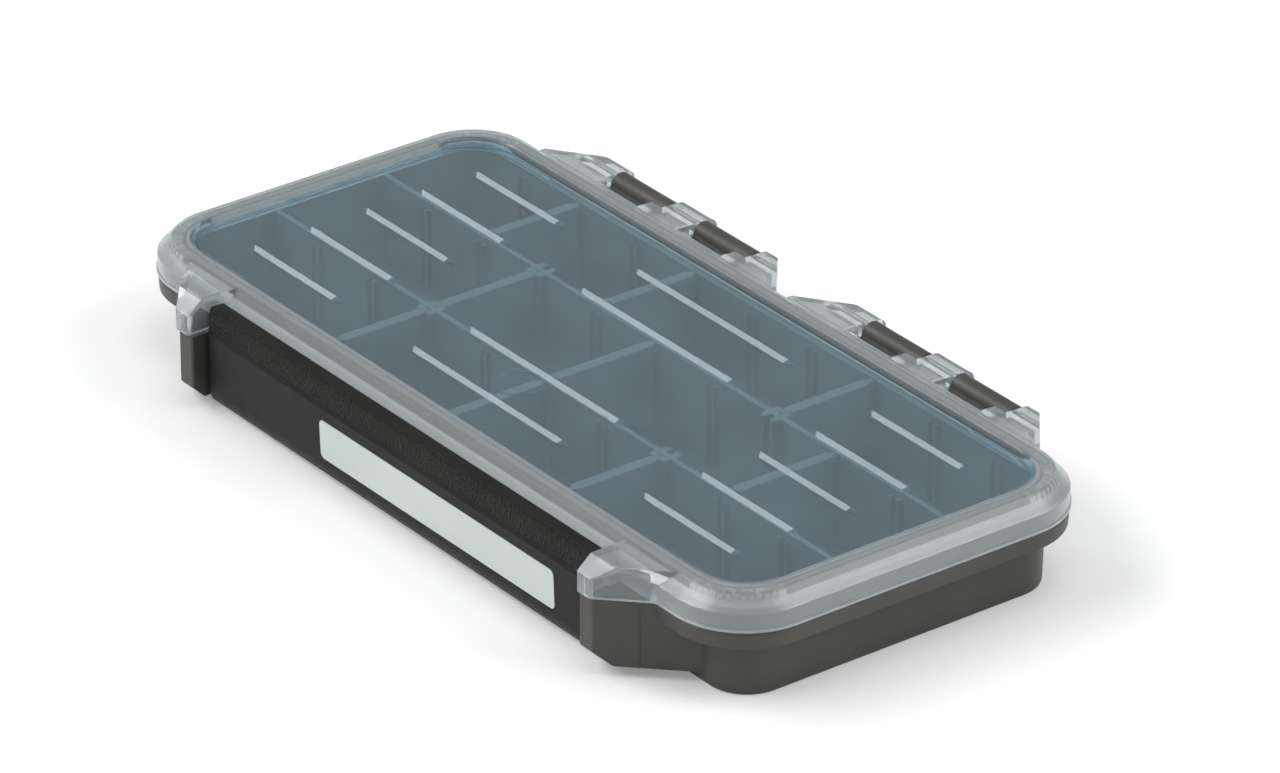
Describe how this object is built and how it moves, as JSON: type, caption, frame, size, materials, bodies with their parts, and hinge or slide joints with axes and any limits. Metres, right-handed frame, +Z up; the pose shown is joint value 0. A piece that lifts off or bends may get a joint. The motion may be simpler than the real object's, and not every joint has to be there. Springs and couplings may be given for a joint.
{
  "type": "tackle utility box",
  "caption": "Flat tackle box with a clear hinged lid, a dark divided tray and a full-width swinging front latch.",
  "frame": {"origin": "middle of the underside, centred on the overall outline", "axes": "+X along the long side, +Y from the latch to the hinges, +Z up"},
  "size_m": [0.2322, 0.127, 0.0277],
  "materials": {
    "tray_plastic": "satin moulded dark olive grey",
    "divider_plastic": "satin moulded grey",
    "clear_plastic": "clear, faintly frosted",
    "latch_plastic": "satin front, grained top",
    "label_film": "matte write-on film",
    "pin_steel": "drawn wire",
    "seal_rubber": "soft translucent grey"
  },
  "bodies": {
    "base": {"base_tray": "tray_plastic", "divider_back_left": "divider_plastic", "divider_back_middle": "divider_plastic", "divider_back_right": "divider_plastic", "divider_centre_left": "divider_plastic", "divider_centre_middle": "divider_plastic", "divider_centre_right": "divider_plastic", "divider_front_left": "divider_plastic", "divider_front_middle": "divider_plastic", "divider_front_right": "divider_plastic", "hinge_pin_left": "pin_steel", "hinge_pin_right": "pin_steel"},
    "lid": {"lid_shell": "clear_plastic", "lid_seal": "seal_rubber"},
    "latch": {"latch_bar": "latch_plastic", "latch_label": "label_film"}
  },
  "joints": [
    {"name": "lid_hinge", "type": "hinge", "parent": "base", "child": "lid", "pos_m": [0, 0.0593, 0.0232], "axis": [-1, 0, 0], "range_deg": [0, 180]},
    {"name": "latch_swing", "type": "hinge", "parent": "base", "child": "latch", "pos_m": [0, -0.0552, 0.007], "axis": [1, 0, 0], "range_deg": [0, 90]}
  ]
}
